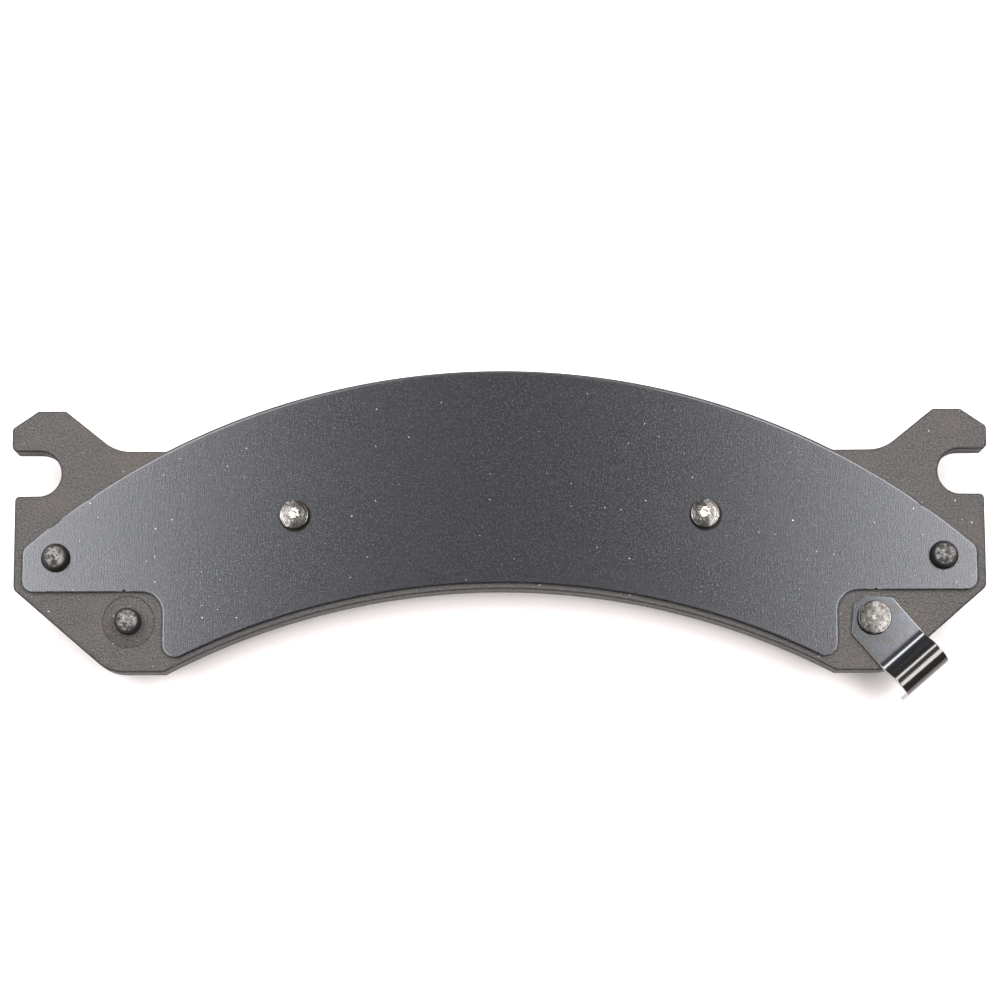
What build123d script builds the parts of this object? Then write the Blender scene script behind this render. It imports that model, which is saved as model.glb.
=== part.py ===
from build123d import *
import math
import os

# Disc brake pad for a heavy vehicle, in millimetres.
# The origin is on the wear face, on the symmetry line, level with the middle of the ear slots.
# +X runs along the pad, +Y points away from the wheel's centre, +Z from the disc to the piston.

# ---- driving dimensions: the stack, from the wear face up ----
LINING_THICKNESS = 9.0
UNDERLAYER_THICKNESS = 2.0
FILM_THICKNESS = 0.15
PLATE_THICKNESS = 6.35
SHIM_ADHESIVE_THICKNESS = 0.10
SHIM_RUBBER_THICKNESS = 0.12
SHIM_STEEL_THICKNESS = 0.50

Z_UNDERLAYER = LINING_THICKNESS
Z_FILM = Z_UNDERLAYER + UNDERLAYER_THICKNESS
Z_PLATE_FRONT = Z_FILM + FILM_THICKNESS
Z_PLATE_BACK = Z_PLATE_FRONT + PLATE_THICKNESS
Z_INNER_RUBBER = Z_PLATE_BACK + SHIM_ADHESIVE_THICKNESS
Z_SHIM_STEEL = Z_INNER_RUBBER + SHIM_RUBBER_THICKNESS
Z_OUTER_RUBBER = Z_SHIM_STEEL + SHIM_STEEL_THICKNESS
Z_SHIM_FACE = Z_OUTER_RUBBER + SHIM_RUBBER_THICKNESS

# ---- backing plate outline ----
OUTER_ARC_CENTRE_Y = -130.0
OUTER_ARC_RADIUS = 151.7
INNER_ARC_CENTRE_Y = -174.65
INNER_ARC_RADIUS = 150.1
PLATE_HALF_LENGTH = 102.0
SHOULDER_Y = 4.75
EAR_TOP_Y = 13.35
EAR_RISE_X = (80.2, 90.85)
EAR_CHAMFER = (96.6, 9.65)
LIP_HALF_LENGTH = 101.2
LIP_LOW_Y = -24.3
FOOT_X = 80.95
FOOT_Y = -41.7
PLATE_BACK_EDGE_RADIUS = 0.45
PLATE_FRONT_EDGE_CHAMFER = 0.15

# ---- ear slots that ride on the caliper bracket ----
SLOT_WIDTH = 9.4
SLOT_END_X = 96.3

# ---- nibs: half-pierced out of the plate, with a blind pocket on the disc side ----
NIB_DIAMETER = 5.3
NIB_HEIGHT = 3.75
NIB_EDGE_RADIUS = 0.7
POCKET_DIAMETER = 5.1
POCKET_DEPTH = 4.0
END_NIB = (92.3, -17.85)
CORNER_NIB = (-77.1, -31.15)
COIN_RING_DIAMETER = 10.6
COIN_RING_DEPTH = 0.18

# ---- lining ----
LINING_OUTER_RADIUS = 148.6
LINING_INNER_RADIUS = 153.4
LINING_HALF_LENGTH = 82.0
LINING_FOOT_Y = -38.2
LINING_SLOT_WIDTH = 3.0
LINING_SLOT_DEPTH = 7.0
LINING_CHAMFER_LENGTH = 12.0
LINING_CHAMFER_DEPTH = 4.0

# ---- shim outline ----
SHIM_OUTER_RADIUS = 151.1
SHIM_INNER_RADIUS = 151.4
SHIM_HALF_LENGTH = 99.3
SHIM_LOW_Y = -25.0
SHIM_TAB_X = 70.0
SHIM_NIB_HOLE = 6.1
SHIM_NICK_X = 78.0
SHIM_NICK_RADIUS = 0.35

# ---- shim rivets ----
SHIM_RIVET = (42.8, -9.0)
SHIM_RIVET_SHANK = 4.4
SHIM_RIVET_HEAD = 6.1
SHIM_RIVET_HEAD_HEIGHT = 1.3
COUNTERSINK_DEPTH = 1.4

# ---- wear indicator, in its own axes: u along the strap from the rivet, v across it ----
INDICATOR_RIVET = (77.6, -30.9)
STRAP_ANGLE = -49.5
STRAP_WIDTH = 11.35
STRAP_THICKNESS = 0.9
STRAP_END_U = -4.95
STRAP_END_CHAMFER = 4.3
STRAP_LIFT_U = 8.0
STRAP_LIFT_RADIUS = 3.45
STRAP_LIFT_ANGLE = 45.0
STRAP_RISE_LENGTH = 1.82
STRAP_CREST_RADIUS = 2.65
STRAP_LEG_SPLAY = 2.0
STRAP_TIP_DROP = 8.3
STRAP_CORNER_RADIUS = 0.5
INDICATOR_SHANK = 5.0
INDICATOR_HEAD = 7.0
INDICATOR_HEAD_HEIGHT = 1.3
INDICATOR_COUNTERSINK = 7.4


def both_sides(face):
    """A sketch and its mirror image across the pad's middle."""
    return face + mirror(face, Plane.YZ)


def disc(x, y, diameter):
    """A round sketch at a place on the plate."""
    return Pos(x, y) * Circle(diameter / 2)


def slab(face, z, height):
    """A sketch raised to z and given a thickness."""
    return extrude(Pos(0, 0, z) * face, height, dir=(0, 0, 1))


def round_corner(face, x, y, radius):
    """Rounds the sketch's corner nearest to a point."""
    corner = min(face.vertices(), key=lambda v: math.hypot(v.X - x, v.Y - y))
    return fillet(corner, radius)


def crescent(outer_radius, inner_radius):
    """The arched band between the two arcs, wider than any piece cut from it."""
    outer = disc(0, OUTER_ARC_CENTRE_Y, 2 * outer_radius)
    inner = disc(0, INNER_ARC_CENTRE_Y, 2 * inner_radius)
    upper_part = Pos(0, 40) * Rectangle(300, 200)
    return (outer - inner) & upper_part


def half_window(points):
    """A polygon on the right half, closed along the symmetry line."""
    return make_face(Polyline(*points, close=True))


def plate_outline():
    """The backing plate's outline: arched middle, stepped shoulders and slotted ears."""
    middle = crescent(OUTER_ARC_RADIUS, INNER_ARC_RADIUS) & half_window([(0, 40), (71, 40), (71, FOOT_Y), (0, FOOT_Y)])
    flank = half_window([
        (60, SHOULDER_Y),
        (EAR_RISE_X[0], SHOULDER_Y),
        (EAR_RISE_X[1], EAR_TOP_Y),
        (EAR_CHAMFER[0], EAR_TOP_Y),
        (PLATE_HALF_LENGTH, EAR_CHAMFER[1]),
        (PLATE_HALF_LENGTH, 0),
        (LIP_HALF_LENGTH, 0),
        (LIP_HALF_LENGTH, LIP_LOW_Y),
        (FOOT_X, FOOT_Y),
        (60, FOOT_Y),
    ])
    flank = flank - disc(0, INNER_ARC_CENTRE_Y, 2 * INNER_ARC_RADIUS)
    half = middle + flank
    slot = Pos(SLOT_END_X + 10, 0) * Rectangle(20, SLOT_WIDTH)
    half = half - slot - disc(SLOT_END_X, 0, SLOT_WIDTH)
    corners = [
        (EAR_RISE_X[0], SHOULDER_Y, 8.5),
        (EAR_RISE_X[1], EAR_TOP_Y, 1.2),
        (EAR_CHAMFER[0], EAR_TOP_Y, 1.0),
        (PLATE_HALF_LENGTH, EAR_CHAMFER[1], 1.0),
        (PLATE_HALF_LENGTH, SLOT_WIDTH / 2, 1.25),
        (LIP_HALF_LENGTH, -SLOT_WIDTH / 2, 1.0),
        (LIP_HALF_LENGTH, LIP_LOW_Y, 1.8),
        (FOOT_X, FOOT_Y, 8.0),
        (69.67, FOOT_Y, 1.0),
        (69.68, SHOULDER_Y, 1.0),
    ]
    for x, y, radius in corners:
        half = round_corner(half, x, y, radius)
    return both_sides(half)


def shim_outline():
    """The shim's outline, without its holes."""
    band = crescent(SHIM_OUTER_RADIUS, SHIM_INNER_RADIUS)
    half = band & half_window([(0, 40), (SHIM_TAB_X, 40), (SHIM_TAB_X, -60), (0, -60)])
    wing = half_window([(50, 40), (SHIM_HALF_LENGTH, 40), (SHIM_HALF_LENGTH, SHIM_LOW_Y), (50, SHIM_LOW_Y)])
    wing = wing & disc(0, OUTER_ARC_CENTRE_Y, 2 * SHIM_OUTER_RADIUS)
    half = half + (wing - disc(0, INNER_ARC_CENTRE_Y, 2 * SHIM_INNER_RADIUS))
    end_y = OUTER_ARC_CENTRE_Y + math.sqrt(SHIM_OUTER_RADIUS**2 - SHIM_HALF_LENGTH**2)
    low_y = INNER_ARC_CENTRE_Y + math.sqrt(SHIM_INNER_RADIUS**2 - SHIM_TAB_X**2)
    corners = [
        (SHIM_HALF_LENGTH, end_y, 2.0),
        (SHIM_HALF_LENGTH, SHIM_LOW_Y, 2.5),
        (SHIM_TAB_X, SHIM_LOW_Y, 4.2),
        (SHIM_TAB_X, low_y, 2.8),
    ]
    for x, y, radius in corners:
        half = round_corner(half, x, y, radius)
    half = half - disc(SHIM_NICK_X, SHIM_LOW_Y, 2 * SHIM_NICK_RADIUS)
    return both_sides(half)


def lining_outline():
    """The lining's outline, inset from the plate's edge."""
    band = crescent(LINING_OUTER_RADIUS, LINING_INNER_RADIUS)
    half = band & half_window([(0, 40), (71, 40), (71, LINING_FOOT_Y), (0, LINING_FOOT_Y)])
    flank = half_window([
        (60, 40),
        (LINING_HALF_LENGTH, 40),
        (LINING_HALF_LENGTH, LINING_FOOT_Y),
        (60, LINING_FOOT_Y),
    ])
    flank = flank & disc(0, OUTER_ARC_CENTRE_Y, 2 * LINING_OUTER_RADIUS)
    half = half + (flank - disc(0, INNER_ARC_CENTRE_Y, 2 * LINING_INNER_RADIUS))
    end_y = OUTER_ARC_CENTRE_Y + math.sqrt(LINING_OUTER_RADIUS**2 - LINING_HALF_LENGTH**2)
    half = round_corner(half, LINING_HALF_LENGTH, end_y, 3.0)
    half = round_corner(half, LINING_HALF_LENGTH, LINING_FOOT_Y, 3.0)
    return both_sides(half)


def rivet_holes():
    """Where the rivets pass through the plate: place, shank and countersink diameters."""
    x, y = SHIM_RIVET
    countersink = SHIM_RIVET_SHANK + 2 * COUNTERSINK_DEPTH
    return [
        ("shim_rivet_left", (-x, y), SHIM_RIVET_SHANK, countersink),
        ("shim_rivet_right", (x, y), SHIM_RIVET_SHANK, countersink),
        ("indicator_rivet", INDICATOR_RIVET, INDICATOR_SHANK, INDICATOR_COUNTERSINK),
    ]


def countersunk_shank(place, shank, countersink, top):
    """A rivet's shank with its flush cone on the disc side, or the hole that it fills."""
    x, y = place
    cone = Cone(countersink / 2, shank / 2, COUNTERSINK_DEPTH, align=(Align.CENTER, Align.CENTER, Align.MIN))
    return slab(disc(x, y, shank), Z_PLATE_FRONT, top - Z_PLATE_FRONT) + Pos(x, y, Z_PLATE_FRONT) * cone


def backing_plate():
    """The plate with its edge radii, nibs, pockets, coined ring and rivet holes."""
    plate = slab(plate_outline(), Z_PLATE_FRONT, PLATE_THICKNESS)
    plate = fillet(plate.faces().sort_by(Axis.Z)[-1].edges(), PLATE_BACK_EDGE_RADIUS)
    plate = chamfer(plate.faces().sort_by(Axis.Z)[0].edges(), PLATE_FRONT_EDGE_CHAMFER)
    x, y = CORNER_NIB
    plate -= slab(disc(x, y, COIN_RING_DIAMETER), Z_PLATE_BACK - COIN_RING_DEPTH, 1)
    for x, y in [END_NIB, (-END_NIB[0], END_NIB[1]), CORNER_NIB]:
        nib = slab(disc(x, y, NIB_DIAMETER), Z_PLATE_BACK - 1, NIB_HEIGHT + 1)
        nib = fillet(nib.edges().group_by(Axis.Z)[-1], NIB_EDGE_RADIUS)
        plate += nib
        plate -= slab(disc(x, y, POCKET_DIAMETER), Z_PLATE_FRONT, POCKET_DEPTH)
    for _, place, shank, countersink in rivet_holes():
        plate -= countersunk_shank(place, shank, countersink, Z_PLATE_BACK)
    return plate


def friction_block():
    """The lining, with its centre slot and the lead-in chamfer at each end."""
    block = slab(lining_outline(), 0, LINING_THICKNESS)
    block -= Pos(0, 0, LINING_SLOT_DEPTH / 2) * Box(LINING_SLOT_WIDTH, 100, LINING_SLOT_DEPTH)
    for side in (-1, 1):
        start = side * (LINING_HALF_LENGTH - LINING_CHAMFER_LENGTH)
        end = side * (LINING_HALF_LENGTH + 1)
        rise = LINING_CHAMFER_DEPTH * (LINING_CHAMFER_LENGTH + 1) / LINING_CHAMFER_LENGTH
        wedge = make_face(Plane.XZ * Polyline((start, 0), (end, 0), (end, rise), close=True))
        block -= extrude(wedge, 60, both=True)
    return block


def underlayer():
    """The heat barrier behind the lining, with the key that fills the corner nib's pocket."""
    layer = slab(lining_outline(), Z_UNDERLAYER, UNDERLAYER_THICKNESS)
    x, y = CORNER_NIB
    return layer + slab(disc(x, y, POCKET_DIAMETER), Z_UNDERLAYER, Z_PLATE_FRONT + POCKET_DEPTH - Z_UNDERLAYER)


def bonding_film():
    """The adhesive film, open where the underlayer keys into the plate."""
    x, y = CORNER_NIB
    return slab(lining_outline() - disc(x, y, POCKET_DIAMETER), Z_FILM, FILM_THICKNESS)


def shim_layer(z, thickness, rivet_hole):
    """One layer of the shim, with its nib holes and rivet holes."""
    face = shim_outline()
    for side in (-1, 1):
        face -= disc(side * END_NIB[0], END_NIB[1], SHIM_NIB_HOLE)
        face -= disc(side * SHIM_RIVET[0], SHIM_RIVET[1], rivet_hole)
    return slab(face, z, thickness)


def formed_head(place, diameter, height, z):
    """A low domed rivet head with a short upright rim."""
    x, y = place
    rim = 0.3 * height
    head = slab(disc(x, y, diameter), z, rim)
    sagitta = height - rim
    dome_radius = ((diameter / 2) ** 2 + sagitta**2) / (2 * sagitta)
    ball = Pos(x, y, z + height - dome_radius) * Sphere(dome_radius)
    return head + (ball & slab(disc(x, y, diameter), z + rim, sagitta + 1))


def rivet(place, shank, countersink, seat, diameter, height):
    """A rivet from its flush cone to its formed head, which sits on the seat plane."""
    return countersunk_shank(place, shank, countersink, seat) + formed_head(place, diameter, height, seat)


def strap_path():
    """The strap's middle line in (u, z): flat on the plate, up, over the crest and down the leg."""
    middle = STRAP_THICKNESS / 2
    flat = Line((STRAP_END_U, middle), (STRAP_LIFT_U, middle))
    lift = JernArc(flat @ 1, flat % 1, STRAP_LIFT_RADIUS, STRAP_LIFT_ANGLE)
    rise = Line(lift @ 1, lift @ 1 + STRAP_RISE_LENGTH * (lift % 1))
    turn = STRAP_LIFT_ANGLE + 90 - STRAP_LEG_SPLAY
    crest = JernArc(rise @ 1, rise % 1, STRAP_CREST_RADIUS, -turn)
    drop = (crest @ 1).Y + STRAP_TIP_DROP
    leg = Line(crest @ 1, crest @ 1 + drop / math.cos(math.radians(STRAP_LEG_SPLAY)) * (crest % 1))
    return Curve() + [flat, lift, rise, crest, leg]


def strap_place():
    """Where the strap's own axes stand on the pad: u along X, z up, at the rivet."""
    x, y = INDICATOR_RIVET
    return Pos(x, y, Z_PLATE_BACK) * Rot(0, 0, STRAP_ANGLE)


def wear_indicator():
    """The spring strap, with its eight-sided root, rivet hole and rounded tip corners."""
    section = trace(strap_path(), STRAP_THICKNESS)
    strap = extrude(Plane.XZ * section, STRAP_WIDTH / 2, both=True)
    for side in (-1, 1):
        corner = Pos(STRAP_END_U, side * STRAP_WIDTH / 2) * Rot(0, 0, 45)
        size = math.sqrt(2) * STRAP_END_CHAMFER
        strap -= extrude(corner * Rectangle(size, size), 5, both=True)
    strap -= extrude(Circle(INDICATOR_SHANK / 2), 5, both=True)
    tip = [e for e in strap.faces().sort_by(Axis.Z)[0].edges() if e.length < 2 * STRAP_THICKNESS]
    strap = fillet(tip, STRAP_CORNER_RADIUS)
    return strap_place() * strap


def build():
    """Every node of the pad by name."""
    nodes = {
        "backing_plate": backing_plate(),
        "bonding_film": bonding_film(),
        "underlayer": underlayer(),
        "friction_block": friction_block(),
        "shim_adhesive": shim_layer(Z_PLATE_BACK, SHIM_ADHESIVE_THICKNESS, SHIM_RIVET_SHANK),
        "shim_inner_rubber": shim_layer(Z_INNER_RUBBER, SHIM_RUBBER_THICKNESS, SHIM_RIVET_SHANK),
        "shim_steel_core": shim_layer(Z_SHIM_STEEL, SHIM_STEEL_THICKNESS, SHIM_RIVET_SHANK),
        "shim_outer_rubber": shim_layer(Z_OUTER_RUBBER, SHIM_RUBBER_THICKNESS, SHIM_RIVET_HEAD + 0.02),
        "wear_indicator": wear_indicator(),
    }
    for name, place, shank, countersink in rivet_holes():
        if name == "indicator_rivet":
            seat, head, height = Z_PLATE_BACK + STRAP_THICKNESS, INDICATOR_HEAD, INDICATOR_HEAD_HEIGHT
        else:
            seat, head, height = Z_OUTER_RUBBER, SHIM_RIVET_HEAD, SHIM_RIVET_HEAD_HEIGHT
        nodes[name] = rivet(place, shank, countersink, seat, head, height)
    return nodes


os.makedirs("parts", exist_ok=True)
for node_name, shape in build().items():
    export_step(shape, f"parts/{node_name}.step")
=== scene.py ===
"""Visual model of a heavy-vehicle disc brake pad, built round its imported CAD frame.

Every surface is worked out with numpy in millimetres, in the frame's own axes: +X along the
pad, +Y away from the wheel's centre, +Z from the disc to the piston, z = 0 on the wear face.
"""

import logging
import math
from collections.abc import Callable
from dataclasses import dataclass, field
from enum import Enum

import bmesh
import bpy
import numpy as np
from mathutils import Matrix, Vector
from mathutils.geometry import delaunay_2d_cdt


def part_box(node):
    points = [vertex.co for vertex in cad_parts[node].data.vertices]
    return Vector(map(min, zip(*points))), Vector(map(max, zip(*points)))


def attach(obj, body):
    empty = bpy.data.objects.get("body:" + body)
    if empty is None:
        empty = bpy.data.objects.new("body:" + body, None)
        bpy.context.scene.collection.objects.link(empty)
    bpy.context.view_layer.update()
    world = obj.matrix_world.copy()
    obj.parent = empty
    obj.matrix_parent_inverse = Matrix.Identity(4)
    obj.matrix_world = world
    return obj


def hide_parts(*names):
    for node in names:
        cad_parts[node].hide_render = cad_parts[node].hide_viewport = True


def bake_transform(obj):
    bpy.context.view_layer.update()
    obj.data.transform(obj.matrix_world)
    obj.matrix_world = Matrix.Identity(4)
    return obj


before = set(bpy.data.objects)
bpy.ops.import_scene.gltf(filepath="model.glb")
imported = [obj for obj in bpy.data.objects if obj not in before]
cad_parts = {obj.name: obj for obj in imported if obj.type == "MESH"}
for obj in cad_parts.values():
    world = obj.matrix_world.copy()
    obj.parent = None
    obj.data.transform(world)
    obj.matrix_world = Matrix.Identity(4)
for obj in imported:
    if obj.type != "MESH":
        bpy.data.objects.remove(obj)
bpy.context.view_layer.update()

log = logging.getLogger("brake_pad")
Array = np.ndarray
MM = 0.001
MERGE_DISTANCE = 2e-6
INSIDE_LOOPS = 1  # the triangulation's setting that leaves out what lies outside every loop


class Slot(Enum):
    """The record's material slots of the new pieces."""

    PLATE = "powder_coated_steel"
    LINING = "friction_compound"
    UNDERLAYER = "underlayer_compound"
    COAT = "shim_rubber_coat"
    RIVET = "rivet_steel"
    STRAP = "blued_spring_steel"


class Side(Enum):
    """The two ends of the pad, as the sign of x."""

    LEFT = -1
    RIGHT = 1


# ---------------------------------------------------------------- curves in the plane


def arc(centre: tuple[float, float], radius: float, start: float, end: float, count: int) -> Array:
    """Points on a circle: centre + radius (cos t, sin t), t evenly spaced.

    Args:
        centre: The circle's centre.
        radius: Its radius.
        start: First angle in degrees.
        end: Last angle in degrees.
        count: Number of points.

    Returns:
        An array of count by 2.
    """
    t = np.radians(np.linspace(start, end, count))
    return np.stack([centre[0] + radius * np.cos(t), centre[1] + radius * np.sin(t)], axis=1)


def edge_arc(centre_y: float, radius: float, end_x: float, room: float, count: int = 60) -> Array:
    """Points of an arc about (0, centre_y), above its centre: y = centre_y + sqrt(r^2 - x^2).

    Args:
        centre_y: Height of the arc's centre on the symmetry line.
        radius: The arc's radius.
        end_x: Where the arc meets its corner.
        room: Length left free beside that corner, for its fillet.
        count: Number of points.

    Returns:
        An array of count by 2, from the symmetry line to the corner.
    """
    x = np.concatenate([np.linspace(0, end_x - room, count - 1), [end_x]])
    return np.stack([x, centre_y + np.sqrt(radius**2 - x**2)], axis=1)


def rounded(corners: Array, radii: Array, steps: int = 9) -> Array:
    """A closed outline whose corners are replaced by tangent arcs, all corners at once.

    With unit vectors a and b from a corner to its neighbours and half the angle between them h,
    the arc of radius r has its centre at r / sin h along a + b and starts r / tan h along a.

    Args:
        corners: The polygon's corners, n by 2, in order.
        radii: One radius per corner, 0 for a sharp one.
        steps: Points on each arc.

    Returns:
        The outline's points, n * steps by 2.
    """
    a = np.roll(corners, 1, axis=0) - corners
    b = np.roll(corners, -1, axis=0) - corners
    a /= np.linalg.norm(a, axis=1, keepdims=True)
    b /= np.linalg.norm(b, axis=1, keepdims=True)
    half = np.arccos(np.clip((a * b).sum(1), -1, 1)) / 2
    half = np.clip(half, 1e-4, math.pi / 2 - 1e-6)
    bisector = a + b
    bisector /= np.maximum(np.linalg.norm(bisector, axis=1, keepdims=True), 1e-9)
    centres = corners + bisector * (radii / np.sin(half))[:, None]
    spoke = corners + a * (radii / np.tan(half))[:, None] - centres
    turn = np.sign(a[:, 1] * b[:, 0] - a[:, 0] * b[:, 1]) * (math.pi - 2 * half)
    t = turn[:, None] * np.linspace(0, 1, steps)[None, :]
    x = spoke[:, :1] * np.cos(t) - spoke[:, 1:] * np.sin(t)
    y = spoke[:, :1] * np.sin(t) + spoke[:, 1:] * np.cos(t)
    return (centres[:, None, :] + np.stack([x, y], axis=2)).reshape(-1, 2)


def symmetric_outline(corners: Array, radii: Array) -> Array:
    """Closes a right half, given from the top of the symmetry line round to its bottom.

    Args:
        corners: Corners of the right half, first and last on x = 0.
        radii: One radius per corner.

    Returns:
        The whole outline's points, anticlockwise.
    """
    mirrored = corners[-2:0:-1] * [-1, 1]
    whole = rounded(np.concatenate([corners, mirrored]), np.concatenate([radii, radii[-2:0:-1]]))
    return whole[::-1]


def resampled(loop: Array, spacing: float) -> Array:
    """Adds evenly spaced points along a closed loop, by linear interpolation on arc length.

    Args:
        loop: Points of the closed loop, n by 2.
        spacing: Largest distance between points.

    Returns:
        The loop with its own points and the added ones, none closer than a twentieth of spacing.
    """
    closed = np.concatenate([loop, loop[:1]])
    knots = np.concatenate([[0], np.cumsum(np.linalg.norm(np.diff(closed, axis=0), axis=1))])
    even = np.linspace(0, knots[-1], int(knots[-1] / spacing) + 2)
    at = np.union1d(knots, even)[:-1]
    at = at[np.concatenate([[True], np.diff(at) > spacing / 20])]
    at = at[at < knots[-1] - spacing / 20]
    return np.stack([np.interp(at, knots, closed[:, 0]), np.interp(at, knots, closed[:, 1])], axis=1)


def outward(loop: Array) -> Array:
    """Unit normals of an anticlockwise loop: the mean edge direction turned right by 90 degrees.

    Args:
        loop: Points of the closed loop, n by 2.

    Returns:
        One normal per point, n by 2.
    """
    edge = np.roll(loop, -1, axis=0) - loop
    edge /= np.linalg.norm(edge, axis=1, keepdims=True)
    mean = edge + np.roll(edge, 1, axis=0)
    mean /= np.linalg.norm(mean, axis=1, keepdims=True)
    return np.stack([mean[:, 1], -mean[:, 0]], axis=1)


def inset(loop: Array, depth: float) -> Array:
    """The loop moved inwards, by less where it turns so tightly that it would fold over itself.

    Step = the lesser of depth and 0.7 of the local radius, which is point spacing / turn of the normal.

    Args:
        loop: The outline, anticlockwise.
        depth: How far to move it, in millimetres.

    Returns:
        The moved points, n by 2.
    """
    normal = outward(loop)
    ahead = np.roll(normal, -1, axis=0)
    turn = normal[:, 0] * ahead[:, 1] - normal[:, 1] * ahead[:, 0]
    spacing = np.linalg.norm(np.roll(loop, -1, axis=0) - loop, axis=1)
    room = 0.7 * spacing / np.maximum(turn, 1e-6)
    room = np.min([np.roll(room, shift) for shift in range(-3, 4)], axis=0)
    return loop - normal * np.minimum(depth, room)[:, None]


def circle(centre: tuple[float, float], radius: float, count: int = 72) -> Array:
    """A closed circle of count points, anticlockwise."""
    return arc(centre, radius, 0, 360 * (1 - 1 / count), count)


def inside(points: Array, loops: list[Array]) -> Array:
    """Even-odd test: a point is inside if a ray along +X crosses the loops an odd number of times.

    Args:
        points: Points to test, n by 2.
        loops: Closed loops, outer ones and holes alike.

    Returns:
        n booleans.
    """
    crossings = np.zeros(len(points), int)
    for loop in loops:
        a, b = loop, np.roll(loop, -1, axis=0)
        y = points[:, 1:2]
        spans = (a[None, :, 1] > y) != (b[None, :, 1] > y)
        rise = np.where(np.abs(b[:, 1] - a[:, 1]) < 1e-12, 1e-12, b[:, 1] - a[:, 1])
        x_at = a[:, 0] + (y - a[:, 1]) * (b[:, 0] - a[:, 0]) / rise
        crossings += (spans & (points[:, :1] < x_at)).sum(1)
    return crossings % 2 == 1


def lattice_noise(points: Array, cell: float, seed: int) -> Array:
    """Smooth value noise: random values on a cubic lattice, blended by s = 3t^2 - 2t^3.

    Args:
        points: Where to read it, n by 3.
        cell: The lattice's spacing.
        seed: Which lattice.

    Returns:
        n values from -1 to 1.
    """
    table = np.random.default_rng(seed).uniform(-1, 1, 4096)
    q = points / cell
    base = np.floor(q).astype(int)
    t = q - base
    s = t * t * (3 - 2 * t)
    total = np.zeros(len(points))
    for corner in np.ndindex(2, 2, 2):
        at = base + corner
        key = (at[:, 0] * 73856093 ^ at[:, 1] * 19349663 ^ at[:, 2] * 83492791) % 4096
        total += table[key] * np.where(corner, s, 1 - s).prod(1)
    return total


# ---------------------------------------------------------------- meshes


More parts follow.
